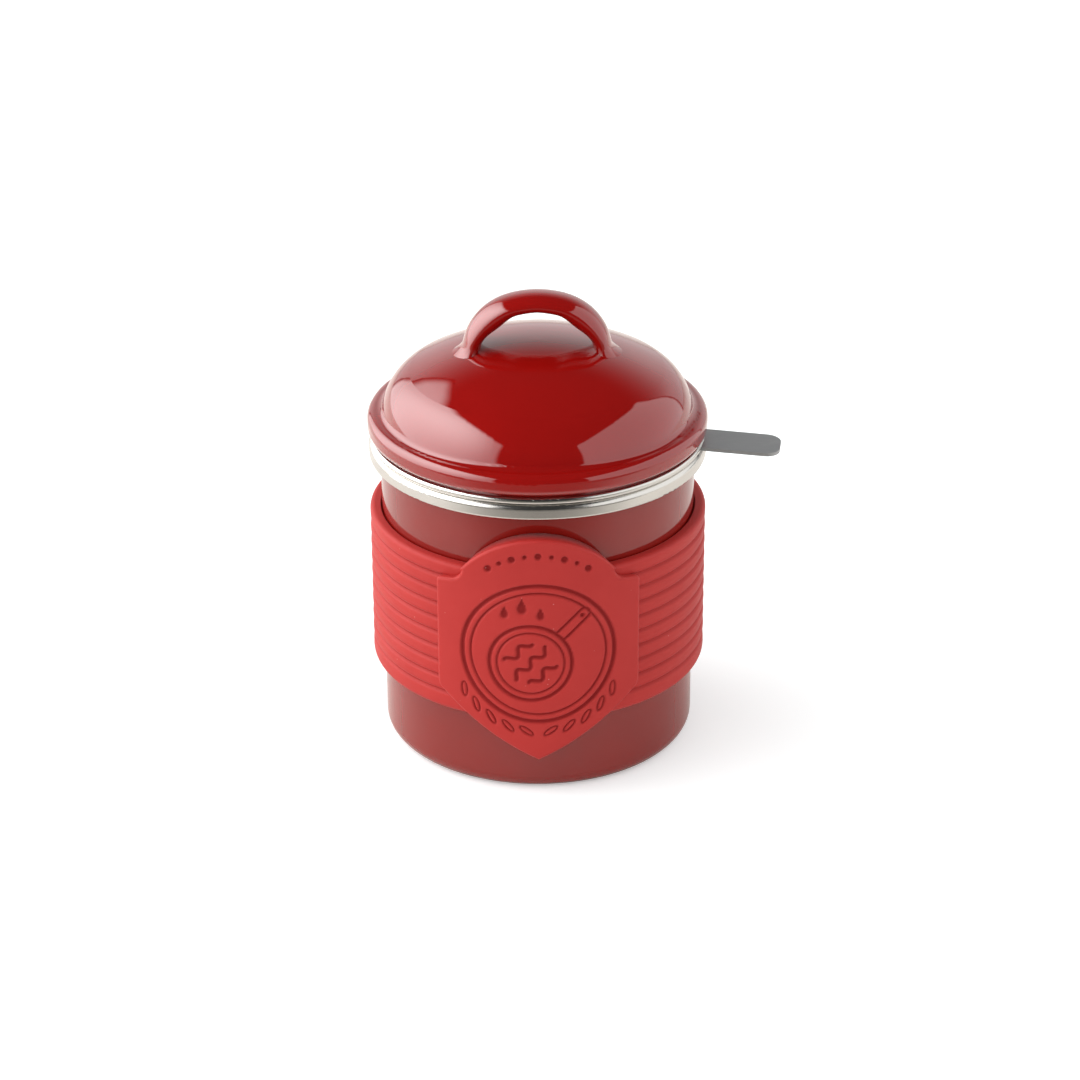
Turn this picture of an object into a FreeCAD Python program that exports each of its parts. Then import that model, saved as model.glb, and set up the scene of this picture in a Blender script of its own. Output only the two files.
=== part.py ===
import FreeCAD, Part
import math
import os

from FreeCAD import Vector

# Bacon grease keeper: an enamelled steel can with a lift-out strainer, a domed lid and a silicone grip sleeve.
# Millimetres. The can's axis is +Z, its base stands at z = 0, the badge faces -Y and the tab points to +X.

# Enamelled can
can_radius = 45.0
can_height = 90.85
can_wall = 1.0
can_corner_radius = 4.4
lip_overhang = 2.75
lip_depth = 3.4
lip_round = 1.1

# Steel band crimped over the can's lip
band_wall = 0.5
band_top_round = 1.6
band_bottom_round = 0.8
band_leg = 4.4
crimp_clearance = 0.05

# Lift-out strainer
ring_height = 1.9
ring_inset = 0.3
ring_wall = 0.6
ring_skirt = 3.5
ring_round = 0.85
strainer_clearance = 0.8
mesh_wall = 0.6
mesh_clearance = 0.05
mesh_depth = 26.0
mesh_neck = 8.0
mesh_taper = 4.5
mesh_corner_radius = 8.0
tab_reach = 21.5
tab_width = 13.0
tab_thickness = 1.0
tab_lift = 0.2
tab_droop = 2.5
tab_corner_radius = 4.2
tab_root = 2.2
tab_angle = -7.5

# Domed lid with a rolled bead
lid_wall = 1.0
bead_reach = 4.1
bead_lower_round = 1.8
bead_upper_round = 2.5
bead_rise = 3.6
valley_round = 2.0
dome_inset = 0.5
dome_shoulder_radius = 15.2
dome_shoulder_rise = 4.1
dome_crown_radius = 78.0

# Locating collar welded inside the lid
collar_wall = 0.7
collar_flange_reach = 1.7
collar_depth = 5.0
collar_clearance = 0.7
collar_round = 0.6

# Bow handle, its outer line and its oval strap
handle_rise = 14.4
handle_crown_radius = 30.6
handle_crown_angle = 17.0
handle_shoulder_radius = 17.5
handle_leg_angle = 78.0
strap_width = 12.6
strap_crown_thickness = 5.2
strap_haunch_thickness = 6.9
strap_foot_thickness = 5.4
strap_haunch_place = 0.5
strap_stops = 8
strap_crown_stops = 2
foot_flare = 1.0
foot_overrun = 1.6
foot_stops = 4

# Silicone sleeve with its moulded badge
sleeve_clearance = 0.3
sleeve_top_gap = 16.2
sleeve_height = 46.7
sleeve_wall = 3.1
sleeve_top_round = 1.9
sleeve_bottom_round = 1.3
groove_count = 9
groove_top_gap = 5.6
groove_bottom_gap = 4.5
groove_depth = 0.7
groove_half_width = 0.75
groove_lip_round = 0.6
groove_floor_round = 0.25
badge_wall = 5.0
badge_half_width = 28.6
badge_top_gap = 5.1
badge_head_rise = 10.8
badge_neck_inset = 7.0
badge_neck_round = 2.6
badge_shoulder_drop = 4.1
badge_shoulder_rise = 1.2
badge_shoulder_round = 1.0
badge_bend_rise = 9.4
badge_bend_round = 5.0
badge_flank_bulge = 2.6
badge_flank_round = 95.0
badge_tip_drop = 11.4
badge_tip_round = 3.0

# Places that follow from the sizes above
can_bore = can_radius - can_wall
lip_radius = can_radius + lip_overhang
lip_under = can_height - lip_depth
band_radius = lip_radius + crimp_clearance + band_wall
band_top = can_height + crimp_clearance + band_wall
band_under = lip_under - crimp_clearance - band_wall
band_bore = can_bore - crimp_clearance - band_wall
ring_top = band_top + ring_height
ring_radius = band_radius - ring_inset
ring_skirt_radius = band_bore - strainer_clearance
ring_bore = ring_skirt_radius - ring_wall
mesh_radius = ring_bore - mesh_clearance
mesh_top = ring_top - ring_round
mesh_floor = ring_top - mesh_depth
mesh_floor_radius = mesh_radius - mesh_taper
collar_radius = mesh_radius - mesh_wall - collar_clearance
bead_under = ring_top + collar_wall
dome_radius = can_radius - dome_inset
bead_radius = dome_radius + bead_reach
collar_flange_radius = dome_radius + collar_flange_reach
dome_shoulder_height = bead_under + dome_shoulder_rise
dome_crown_angle = math.asin((dome_radius - dome_shoulder_radius) / (dome_crown_radius - dome_shoulder_radius))
dome_crown_centre = dome_shoulder_height - (dome_crown_radius - dome_shoulder_radius) * math.cos(dome_crown_angle)
dome_top = dome_crown_centre + dome_crown_radius
sleeve_bore = can_radius + sleeve_clearance
sleeve_radius = sleeve_bore + sleeve_wall
sleeve_top = band_under - sleeve_top_gap
sleeve_bottom = sleeve_top - sleeve_height
groove_pitch = (sleeve_height - groove_top_gap - groove_bottom_gap) / (groove_count - 1)
badge_radius = sleeve_bore + badge_wall
badge_top_height = band_under - badge_top_gap
badge_neck_height = badge_top_height - badge_head_rise
badge_neck_half_width = badge_half_width - badge_neck_inset
badge_side_height = sleeve_top - badge_shoulder_drop
badge_bend_height = sleeve_bottom + badge_bend_rise
badge_tip_height = sleeve_bottom - badge_tip_drop

UP = Vector(0, 0, 1)
ORIGIN = Vector(0, 0, 0)


def in_section(across, height):
    """A point of a section drawn in the XZ plane."""
    return Vector(across, 0, height)


def rounded_wire(corners):
    """A closed outline in the XZ plane from corners (across, height, radius), each rounded by its radius."""
    edges = []
    count = len(corners)
    stops = []
    for i, (across, height, radius) in enumerate(corners):
        here = in_section(across, height)
        if radius == 0:
            stops.append((here, None, here))
            continue
        back = (in_section(*corners[i - 1][:2]) - here).normalize()
        ahead = (in_section(*corners[(i + 1) % count][:2]) - here).normalize()
        half = math.acos(max(-1.0, min(1.0, back.dot(ahead)))) / 2
        reach = radius / math.tan(half)
        middle = (back + ahead).normalize() * (radius / math.sin(half) - radius)
        stops.append((here + back * reach, here + middle, here + ahead * reach))
    for i, (first, middle, last) in enumerate(stops):
        if middle is not None:
            edges.append(Part.Arc(first, middle, last).toShape())
        start_of_next = stops[(i + 1) % count][0]
        if last.distanceToPoint(start_of_next) > 1e-6:
            edges.append(Part.LineSegment(last, start_of_next).toShape())
    return Part.Wire(edges)


def turned(wire):
    """The solid that a section in the XZ plane makes when it turns about the axis."""
    return Part.Face(wire).revolve(ORIGIN, UP, 360)


def arc_point(centre, radius, angle):
    """A point on a circle in the XZ plane, the angle taken from straight up."""
    return in_section(centre[0] + radius * math.sin(angle), centre[1] + radius * math.cos(angle))


def arc_edge(centre, radius, start, end):
    """An arc in the XZ plane between two angles taken from straight up."""
    points = [arc_point(centre, radius, angle) for angle in (start, (start + end) / 2, end)]
    return Part.Arc(*points).toShape()


def line_edge(start, end):
    return Part.LineSegment(start, end).toShape()


def bin_can():
    """Drawn can: a flat base, a straight wall and a lip rolled outwards."""
    return turned(rounded_wire([
        (0, 0, 0),
        (can_radius, 0, can_corner_radius),
        (can_radius, lip_under, 0),
        (lip_radius, lip_under, lip_round),
        (lip_radius, can_height, lip_round),
        (can_bore, can_height, lip_round / 2),
        (can_bore, can_wall, can_corner_radius - can_wall),
        (0, can_wall, 0),
    ]))


def rim_band():
    """Bright steel channel that wraps the can's lip, inside and out."""
    return turned(rounded_wire([
        (band_bore, band_top - band_leg, 0),
        (band_bore + band_wall, band_top - band_leg, 0),
        (band_bore + band_wall, band_top - band_wall, lip_round / 2),
        (band_radius - band_wall, band_top - band_wall, band_top_round - band_wall),
        (band_radius - band_wall, band_under + band_wall, band_bottom_round - band_wall),
        (can_radius + crimp_clearance, band_under + band_wall, 0),
        (can_radius + crimp_clearance, band_under, 0),
        (band_radius, band_under, band_bottom_round),
        (band_radius, band_top, band_top_round),
        (band_bore, band_top, lip_round / 2 + band_wall),
    ]))


def tab_blank():
    """The strainer's flat finger tab, drawn along +X, tipped down a little and turned to its angle."""
    start = ring_radius - tab_root
    end = ring_radius + tab_reach
    half = tab_width / 2
    bottom = band_top + tab_lift
    outline = rounded_wire([
        (start, -half, 0),
        (end, -half, tab_corner_radius),
        (end, half, tab_corner_radius),
        (start, half, 0),
    ])
    blank = Part.Face(outline).extrude(Vector(0, tab_thickness, 0))
    blank.rotate(ORIGIN, Vector(1, 0, 0), 90)
    blank.translate(Vector(0, 0, bottom))
    blank.rotate(in_section(ring_radius, bottom), Vector(0, 1, 0), tab_droop)
    blank.rotate(ORIGIN, UP, tab_angle)
    return blank


def strainer_tab():
    return tab_blank()


def strainer_ring():
    """Hemmed steel ring that sits on the band and holds the mesh, notched for the tab's root."""
    ring = turned(rounded_wire([
        (ring_bore, band_top - ring_skirt, 0),
        (ring_skirt_radius, band_top - ring_skirt, 0),
        (ring_skirt_radius, band_top, 0),
        (ring_radius, band_top, ring_round),
        (ring_radius, ring_top, ring_round),
        (ring_bore, ring_top, ring_round),
    ]))
    return ring.cut(tab_blank())


def strainer_mesh():
    """Fine mesh bowl, as a thin closed wall of the bowl's true outer shape."""
    neck_end = mesh_top - mesh_neck
    inner_corner = mesh_corner_radius - mesh_wall
    return turned(rounded_wire([
        (0, mesh_floor, 0),
        (mesh_floor_radius, mesh_floor, mesh_corner_radius),
        (mesh_radius, neck_end, mesh_corner_radius),
        (mesh_radius, mesh_top, 0),
        (mesh_radius - mesh_wall, mesh_top, 0),
        (mesh_radius - mesh_wall, neck_end, inner_corner),
        (mesh_floor_radius - mesh_wall, mesh_floor + mesh_wall, inner_corner),
        (0, mesh_floor + mesh_wall, 0),
    ]))


def valley_centre():
    """Centre of the hollow arc that touches both the dome's shoulder and the bead's upper round from outside."""
    shoulder = in_section(dome_radius - dome_shoulder_radius, dome_shoulder_height)
    bead = in_section(bead_radius - bead_upper_round, bead_under + bead_rise)
    to_shoulder = dome_shoulder_radius + valley_round
    to_bead = bead_upper_round + valley_round
    span = shoulder.distanceToPoint(bead)
    along = (to_shoulder ** 2 - to_bead ** 2 + span ** 2) / (2 * span)
    aside = math.sqrt(to_shoulder ** 2 - along ** 2)
    heading = (bead - shoulder).normalize()
    return shoulder + heading * along + Vector(-heading.z, 0, heading.x) * aside


def angle_between(start, end):
    """Direction from one section point to another, taken from straight up."""
    return math.atan2(end.x - start[0], end.z - start[1])


def dome_curve(offset, last_angle):
    """Crown and shoulder arcs of the dome, from the axis outwards, moved in by an offset."""
    shoulder_centre = (dome_radius - dome_shoulder_radius, dome_shoulder_height)
    crown = arc_edge((0, dome_crown_centre), dome_crown_radius - offset, 0, dome_crown_angle)
    shoulder = arc_edge(shoulder_centre, dome_shoulder_radius - offset, dome_crown_angle, last_angle)
    return [crown, shoulder]


def bead_curve(valley, shoulder_angle):
    """Outside of the rolled bead, from the valley under the dome round to the bead's underside."""
    upper = (bead_radius - bead_upper_round, bead_under + bead_rise)
    lower = (bead_radius - bead_lower_round, bead_under + bead_lower_round)
    bead_angle = angle_between(upper, valley)
    return [
        arc_edge((valley.x, valley.z), valley_round, shoulder_angle - math.pi, bead_angle - math.pi),
        arc_edge(upper, bead_upper_round, bead_angle, math.pi / 2),
        line_edge(in_section(bead_radius, upper[1]), in_section(bead_radius, lower[1])),
        arc_edge(lower, bead_lower_round, math.pi / 2, math.pi),
    ]


def lid_dome():
    """Pressed lid: dome, valley and rolled bead in one sheet."""
    valley = valley_centre()
    shoulder_angle = angle_between((dome_radius - dome_shoulder_radius, dome_shoulder_height), valley)
    inner_radius = dome_radius - lid_wall
    edges = dome_curve(0, shoulder_angle)
    edges += bead_curve(valley, shoulder_angle)
    edges.append(line_edge(in_section(bead_radius - bead_lower_round, bead_under),
                           in_section(inner_radius, bead_under)))
    edges.append(line_edge(in_section(inner_radius, bead_under), in_section(inner_radius, dome_shoulder_height)))
    edges += dome_curve(lid_wall, math.pi / 2)
    edges.append(line_edge(in_section(0, dome_top - lid_wall), in_section(0, dome_top)))
    return turned(Part.Wire(Part.sortEdges(edges)[0]))


def lid_collar():
    """Pressed collar under the lid: a flange that rests on the strainer's ring and a skirt that centres the lid."""
    inner = collar_radius - collar_wall
    return turned(rounded_wire([
        (inner, ring_top - collar_depth, 0),
        (collar_radius, ring_top - collar_depth, 0),
        (collar_radius, ring_top, collar_round),
        (collar_flange_radius, ring_top, 0),
        (collar_flange_radius, bead_under, 0),
        (inner, bead_under, collar_round + collar_wall),
    ]))


def dome_block():
    """The dome's outer form, filled down to the height of its shoulder's centre."""
    edges = dome_curve(0, math.pi / 2)
    foot = in_section(dome_radius, dome_shoulder_height)
    centre = in_section(0, dome_shoulder_height)
    edges.append(line_edge(foot, centre))
    edges.append(line_edge(centre, in_section(0, dome_top)))
    return turned(Part.Wire(Part.sortEdges(edges)[0]))


def softly(start, end, share):
    """A value that leaves start and reaches end with no kink, as share goes from 0 to 1."""
    return start + (end - start) * (1 - math.cos(math.pi * share)) / 2


def strap_thickness(share):
    """The strap is thin at the crown, where share is 0, thick at the haunch and thinner again at the foot."""
    if share < strap_haunch_place:
        return softly(strap_crown_thickness, strap_haunch_thickness, share / strap_haunch_place)
    past = (share - strap_haunch_place) / (1 - strap_haunch_place)
    return softly(strap_haunch_thickness, strap_foot_thickness, past)


def strap_oval(outer, angle, thickness, flare):
    """The strap's oval section under a point of its outer line, square to a line turned by an angle from level."""
    oval = Part.Ellipse(ORIGIN, strap_width / 2 + flare, thickness / 2 + flare).toShape()
    oval.rotate(ORIGIN, UP, 90)
    oval.rotate(ORIGIN, Vector(0, 1, 0), 90)
    oval.rotate(ORIGIN, Vector(0, 1, 0), math.degrees(angle))
    oval.translate(outer - arc_point((0, 0), thickness / 2, angle))
    return Part.Wire(oval)


def half_strap():
    """Stops along the strap, from just past its crown down to a flared foot that ends inside the dome."""
    lean = math.radians(handle_leg_angle)
    turn = math.radians(handle_crown_angle)
    crown_centre = (0, dome_top + handle_rise - handle_crown_radius)
    arm = handle_crown_radius - handle_shoulder_radius
    hub = (arm * math.sin(turn), crown_centre[1] + arm * math.cos(turn))
    stops = []
    for stop in range(-strap_crown_stops, strap_stops + 1):
        share = stop / strap_stops
        angle = share * lean
        on_crown = arc_point(crown_centre, handle_crown_radius, angle)
        on_shoulder = arc_point(hub, handle_shoulder_radius, angle)
        outer = on_crown if angle < turn else on_shoulder
        stops.append((outer, angle, strap_thickness(abs(share)), 0))
    knee = arc_point(hub, handle_shoulder_radius, lean)
    dome_under_knee = dome_crown_centre + math.sqrt(dome_crown_radius ** 2 - knee.x ** 2)
    to_dome = (knee.z - dome_under_knee) / math.sin(lean)
    down = Vector(math.cos(lean), 0, -math.sin(lean))
    for stop in range(1, foot_stops + 1):
        share = foot_overrun * stop / foot_stops
        stops.append((knee + down * (share * to_dome), lean, strap_foot_thickness, foot_flare * share ** 2))
    return stops


def lid_handle():
    """Oval strap bent to a bow, with flared feet fitted to the dome, drawn as one half and its mirror image."""
    strap = Part.makeLoft([strap_oval(*stop) for stop in half_strap()], True)
    corner = Vector(0, -dome_radius, bead_under)
    right = strap.common(Part.makeBox(dome_radius, 2 * dome_radius, 2 * dome_radius, corner))
    left = right.mirror(ORIGIN, Vector(1, 0, 0))
    return right.fuse(left).cut(dome_block())


def sleeve_band():
    """Straight band with shallow grooves round it."""
    corners = [
        (sleeve_bore, sleeve_bottom, 0),
        (sleeve_radius, sleeve_bottom, sleeve_bottom_round),
    ]
    for i in reversed(range(groove_count)):
        middle = sleeve_top - groove_top_gap - i * groove_pitch
        corners.append((sleeve_radius, middle - groove_half_width, groove_lip_round))
        corners.append((sleeve_radius - groove_depth, middle, groove_floor_round))
        corners.append((sleeve_radius, middle + groove_half_width, groove_lip_round))
    corners.append((sleeve_radius, sleeve_top, sleeve_top_round))
    corners.append((sleeve_bore, sleeve_top, 0))
    return turned(rounded_wire(corners))


def badge_face():
    """Outline of the badge: pointed foot, bowed flanks, upright sides, small shoulders and a round head."""
    half_run = badge_half_width / 2
    half_climb = (badge_bend_height - badge_tip_height) / 2
    slant = math.hypot(half_run, half_climb)
    flank_across = half_run + badge_flank_bulge * half_climb / slant
    flank_height = badge_tip_height + half_climb - badge_flank_bulge * half_run / slant
    head_rise = badge_top_height - badge_neck_height
    head_radius = (badge_neck_half_width ** 2 + head_rise ** 2) / (2 * head_rise)
    head_centre = in_section(0, badge_top_height - head_radius)
    right = [
        (flank_across, flank_height, badge_flank_round),
        (badge_half_width, badge_bend_height, badge_bend_round),
        (badge_half_width, badge_side_height, badge_shoulder_round),
        (badge_neck_half_width, badge_side_height + badge_shoulder_rise, badge_neck_round),
        (badge_neck_half_width, badge_neck_height, 0),
    ]
    left = [(-across, height, radius) for across, height, radius in reversed(right)]
    body = Part.Face(rounded_wire([(0, badge_tip_height, badge_tip_round)] + right + left))
    head = Part.Face(Part.Wire(Part.Circle(head_centre, Vector(0, 1, 0), head_radius).toShape()))
    return body.fuse(head).removeSplitter()


def badge_plate():
    """Raised plate that follows the sleeve and runs past both of its edges."""
    prism = badge_face().extrude(Vector(0, -2 * badge_radius, 0))
    outside = Part.makeCylinder(badge_radius, 2 * badge_top_height)
    inside = Part.makeCylinder(sleeve_bore, 2 * badge_top_height)
    return prism.common(outside.cut(inside))


def silicone_sleeve():
    """Grooved band and badge, moulded in one."""
    return sleeve_band().fuse(badge_plate()).removeSplitter()


PIECES = [bin_can, rim_band, strainer_ring, strainer_tab, strainer_mesh,
          lid_dome, lid_collar, lid_handle, silicone_sleeve]

os.makedirs("parts", exist_ok=True)
for piece in PIECES:
    solid = piece()
    solid.exportStep(f"parts/{piece.__name__}.step")
    box = solid.BoundBox
    print(piece.__name__, len(solid.Solids), solid.isValid(), round(solid.Volume, 1),
          [round(v, 2) for v in (box.XMin, box.YMin, box.ZMin, box.XMax, box.YMax, box.ZMax)])
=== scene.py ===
import math

import bpy
import numpy as np
from mathutils import Matrix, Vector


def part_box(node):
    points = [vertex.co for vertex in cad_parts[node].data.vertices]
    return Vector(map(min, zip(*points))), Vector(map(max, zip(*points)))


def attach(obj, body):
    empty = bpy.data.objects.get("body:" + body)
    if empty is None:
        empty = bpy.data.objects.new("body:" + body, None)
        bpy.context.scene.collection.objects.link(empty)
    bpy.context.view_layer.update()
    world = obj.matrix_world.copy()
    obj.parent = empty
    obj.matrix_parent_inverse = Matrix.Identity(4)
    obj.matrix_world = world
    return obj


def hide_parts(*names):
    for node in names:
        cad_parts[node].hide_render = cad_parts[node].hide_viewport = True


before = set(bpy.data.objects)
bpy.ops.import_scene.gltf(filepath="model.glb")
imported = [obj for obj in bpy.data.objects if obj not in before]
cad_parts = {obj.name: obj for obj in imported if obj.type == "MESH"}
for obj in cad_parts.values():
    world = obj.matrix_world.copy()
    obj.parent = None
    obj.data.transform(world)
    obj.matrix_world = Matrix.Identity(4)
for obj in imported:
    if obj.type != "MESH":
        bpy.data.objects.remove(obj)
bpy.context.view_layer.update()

# Bacon grease keeper in red enamel, bright steel and red silicone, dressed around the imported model.
# Metres. The can's axis is +Z, the badge faces -Y and the strainer's tab points to +X.

MM = 0.001

# Camera, from the outline of the can, the rim and the lid in the photograph
camera_place = (0.57 * MM, -856.4 * MM, 476.95 * MM)
camera_pitch = 26.094
camera_roll = -0.244
camera_lens = 109.3

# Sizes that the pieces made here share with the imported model
sleeve_bore = 45.3 * MM
sleeve_radius = 48.4 * MM
sleeve_bottom = 24.0 * MM
sleeve_top = 70.7 * MM
groove_count = 9
groove_pitch = 4.575 * MM
groove_first = sleeve_top - 5.6 * MM
ring_sides = 160
wire_sides = 3
badge_radius = -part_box("silicone_sleeve")[0].y

# Colours, linear
enamel_red = (0.275, 0.004, 0.003, 1)
enamel_deep = (0.215, 0.003, 0.002, 1)
can_red = (0.230, 0.008, 0.005, 1)
can_deep = (0.175, 0.006, 0.004, 1)
silicone_red = (0.450, 0.019, 0.015, 1)
# Painted shade: the colour that the silicone's grooves and engraved lines are darkened towards
silicone_painted_shade = (0.210, 0.0005, 0.0005, 1)
dust_pink = (0.75, 0.45, 0.42, 1)
steel_bright = (0.67, 0.65, 0.615, 1)
steel_dim = (0.54, 0.53, 0.52, 1)
tab_grey = (0.36, 0.365, 0.37, 1)
floor_white = (0.82, 0.86, 0.86, 1)
# Painted reflection: the floor's colour as glossy rays alone see it, warm, and dark in front of the object
floor_painted_reflection = (0.88, 0.84, 0.79, 1)
floor_front_painted_reflection = (0.20, 0.19, 0.17, 1)


class Value:
    """A number or vector in a node tree that takes part in plain arithmetic."""

    def __init__(self, tree, socket):
        self.tree = tree
        self.socket = socket

    def math(self, operation, *others):
        node = self.tree.nodes.new("ShaderNodeMath")
        node.operation = operation
        for slot, item in zip(node.inputs, (self,) + others):
            plug(self.tree, item, slot)
        return Value(self.tree, node.outputs[0])

    def __add__(self, other):
        return self.math("ADD", other)

    def __sub__(self, other):
        return self.math("SUBTRACT", other)

    def __mul__(self, other):
        return self.math("MULTIPLY", other)

    def __truediv__(self, other):
        return self.math("DIVIDE", other)

    def inverse(self):
        """1 divided by this value."""
        node = self.tree.nodes.new("ShaderNodeMath")
        node.operation = "DIVIDE"
        node.inputs[0].default_value = 1.0
        plug(self.tree, self, node.inputs[1])
        return Value(self.tree, node.outputs[0])

    def limited(self, low, high):
        """This value, held between low and high."""
        return self.math("MAXIMUM", low).math("MINIMUM", high)

    def smooth_step(self, low, high):
        """0 below low, 1 above high and a soft ramp between."""
        node = self.tree.nodes.new("ShaderNodeMapRange")
        node.interpolation_type = "SMOOTHSTEP"
        plug(self.tree, self, node.inputs["Value"])
        plug(self.tree, low, node.inputs["From Min"])
        plug(self.tree, high, node.inputs["From Max"])
        return Value(self.tree, node.outputs["Result"])


def plug(tree, item, socket):
    """Feeds a socket from a Value, another socket or a plain number."""
    if isinstance(item, Value):
        tree.links.new(item.socket, socket)
    elif isinstance(item, bpy.types.NodeSocket):
        tree.links.new(item, socket)
    else:
        socket.default_value = item


def add_node(tree, kind, settings=None, **inputs):
    """A node with some of its properties and named inputs set."""
    node = tree.nodes.new(kind)
    for name, setting in (settings or {}).items():
        setattr(node, name, setting)
    for name, item in inputs.items():
        plug(tree, item, node.inputs[name.replace("_", " ")])
    return node


def mixed(tree, factor, first, second):
    """The first colour where the factor is 0 and the second where it is 1."""
    mix = add_node(tree, "ShaderNodeMix", {"data_type": "RGBA"})
    plug(tree, factor, mix.inputs["Factor"])
    plug(tree, first, mix.inputs[6])
    plug(tree, second, mix.inputs[7])
    return mix.outputs[2]


def new_group(kind, name, inputs, outputs):
    """An empty node group with named inputs and outputs: the tree, its input values and its output node."""
    tree = bpy.data.node_groups.new(name, kind)
    for label, (socket_type, default) in inputs.items():
        socket = tree.interface.new_socket(label, in_out="INPUT", socket_type=socket_type)
        if default is not None:
            socket.default_value = default
    for label, socket_type in outputs.items():
        tree.interface.new_socket(label, in_out="OUTPUT", socket_type=socket_type)
    entry = tree.nodes.new("NodeGroupInput")
    values = {label: Value(tree, entry.outputs[label]) for label in inputs}
    return tree, values, tree.nodes.new("NodeGroupOutput")


FLOAT = "NodeSocketFloat"
COLOUR = "NodeSocketColor"
GEOMETRY = "NodeSocketGeometry"


# Surface effects shared by the materials

def fired_enamel_group():
    """Fired enamel: a soft orange-peel swell, cloudy depth of colour and a few dull specks."""
    tree, value, out = new_group(
        "ShaderNodeTree", "fired_enamel",
        {"Colour": (COLOUR, enamel_red), "Deep Colour": (COLOUR, enamel_deep), "Swell Size": (FLOAT, 0.006),
         "Speck Size": (FLOAT, 0.004), "Gloss": (FLOAT, 0.07)},
        {"Colour": COLOUR, "Roughness": FLOAT, "Height": FLOAT})
    place = add_node(tree, "ShaderNodeTexCoord").outputs["Object"]
    swell = add_node(tree, "ShaderNodeTexNoise", Vector=place, Scale=value["Swell Size"].inverse(),
                     Detail=2.0, Roughness=0.4)
    cloud = add_node(tree, "ShaderNodeTexNoise", Vector=place, Scale=38.0, Detail=4.0, Roughness=0.55)
    speck = add_node(tree, "ShaderNodeTexVoronoi", {"feature": "F1"}, Vector=place,
                     Scale=value["Speck Size"].inverse(), Randomness=1.0)
    speck_parts = add_node(tree, "ShaderNodeSeparateColor", Color=speck.outputs["Color"])
    few = Value(tree, speck_parts.outputs["Red"]).smooth_step(0.86, 0.90)
    dot = Value(tree, speck.outputs["Distance"]).smooth_step(0.055, 0.025) * few
    blend = Value(tree, cloud.outputs["Fac"]).smooth_step(0.35, 0.75) * 0.35 + dot * 0.5
    rough = value["Gloss"] + Value(tree, cloud.outputs["Fac"]) * 0.03 + dot * 0.2
    plug(tree, mixed(tree, blend, value["Colour"], value["Deep Colour"]), out.inputs["Colour"])
    plug(tree, rough, out.inputs["Roughness"])
    plug(tree, Value(tree, swell.outputs["Fac"]) - dot * 0.25, out.inputs["Height"])
    return tree


def turned_steel_group():
    """Steel polished on a lathe: fine lines round the axis and a slow change of tone."""
    tree, value, out = new_group(
        "ShaderNodeTree", "turned_steel",
        {"Colour": (COLOUR, steel_bright), "Worn Colour": (COLOUR, steel_dim), "Line Pitch": (FLOAT, 0.00012),
         "Gloss": (FLOAT, 0.14)},
        {"Colour": COLOUR, "Roughness": FLOAT, "Height": FLOAT})
    place = add_node(tree, "ShaderNodeTexCoord").outputs["Object"]
    axes = add_node(tree, "ShaderNodeSeparateXYZ", Vector=place)
    x, y, z = (Value(tree, axes.outputs[name]) for name in "XYZ")
    across = (x * x + y * y).math("SQRT") / value["Line Pitch"]
    upward = z / value["Line Pitch"]
    turn = y.math("ARCTAN2", x)
    lane = add_node(tree, "ShaderNodeCombineXYZ")
    plug(tree, across, lane.inputs[0])
    plug(tree, upward, lane.inputs[1])
    plug(tree, turn * 2.0, lane.inputs[2])
    lines = add_node(tree, "ShaderNodeTexNoise", Vector=lane.outputs[0], Scale=0.5, Detail=3.0, Roughness=0.6)
    tone = add_node(tree, "ShaderNodeTexNoise", Vector=place, Scale=60.0, Detail=3.0, Roughness=0.6)
    line = Value(tree, lines.outputs["Fac"])
    worn = Value(tree, tone.outputs["Fac"]).smooth_step(0.45, 0.8) * 0.5 + line.smooth_step(0.5, 0.8) * 0.3
    plug(tree, mixed(tree, worn, value["Colour"], value["Worn Colour"]), out.inputs["Colour"])
    rough = value["Gloss"] + line * 0.04 + Value(tree, tone.outputs["Fac"]) * 0.04
    plug(tree, rough, out.inputs["Roughness"])
    plug(tree, line, out.inputs["Height"])
    return tree


def rolled_strip_group():
    """Rolled strip: fine straight lines along X with a faint mottle."""
    tree, value, out = new_group(
        "ShaderNodeTree", "rolled_strip",
        {"Colour": (COLOUR, tab_grey), "Worn Colour": (COLOUR, steel_dim), "Line Pitch": (FLOAT, 0.00025),
         "Gloss": (FLOAT, 0.30)},
        {"Colour": COLOUR, "Roughness": FLOAT, "Height": FLOAT})
    place = add_node(tree, "ShaderNodeTexCoord").outputs["Object"]
    axes = add_node(tree, "ShaderNodeSeparateXYZ", Vector=place)
    lane = add_node(tree, "ShaderNodeCombineXYZ")
    plug(tree, Value(tree, axes.outputs["X"]) * 150.0, lane.inputs[0])
    plug(tree, Value(tree, axes.outputs["Y"]) / value["Line Pitch"], lane.inputs[1])
    plug(tree, Value(tree, axes.outputs["Z"]) / value["Line Pitch"], lane.inputs[2])
    lines = add_node(tree, "ShaderNodeTexNoise", Vector=lane.outputs[0], Scale=1.0, Detail=3.0, Roughness=0.6)
    mottle = add_node(tree, "ShaderNodeTexNoise", Vector=place, Scale=220.0, Detail=3.0)
    line = Value(tree, lines.outputs["Fac"])
    blotch = Value(tree, mottle.outputs["Fac"]).smooth_step(0.55, 0.8)
    worn = line.smooth_step(0.45, 0.85) * 0.35 + blotch * 0.25
    plug(tree, mixed(tree, worn, value["Colour"], value["Worn Colour"]), out.inputs["Colour"])
    plug(tree, value["Gloss"] + line * 0.12, out.inputs["Roughness"])
    plug(tree, line, out.inputs["Height"])
    return tree


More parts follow.
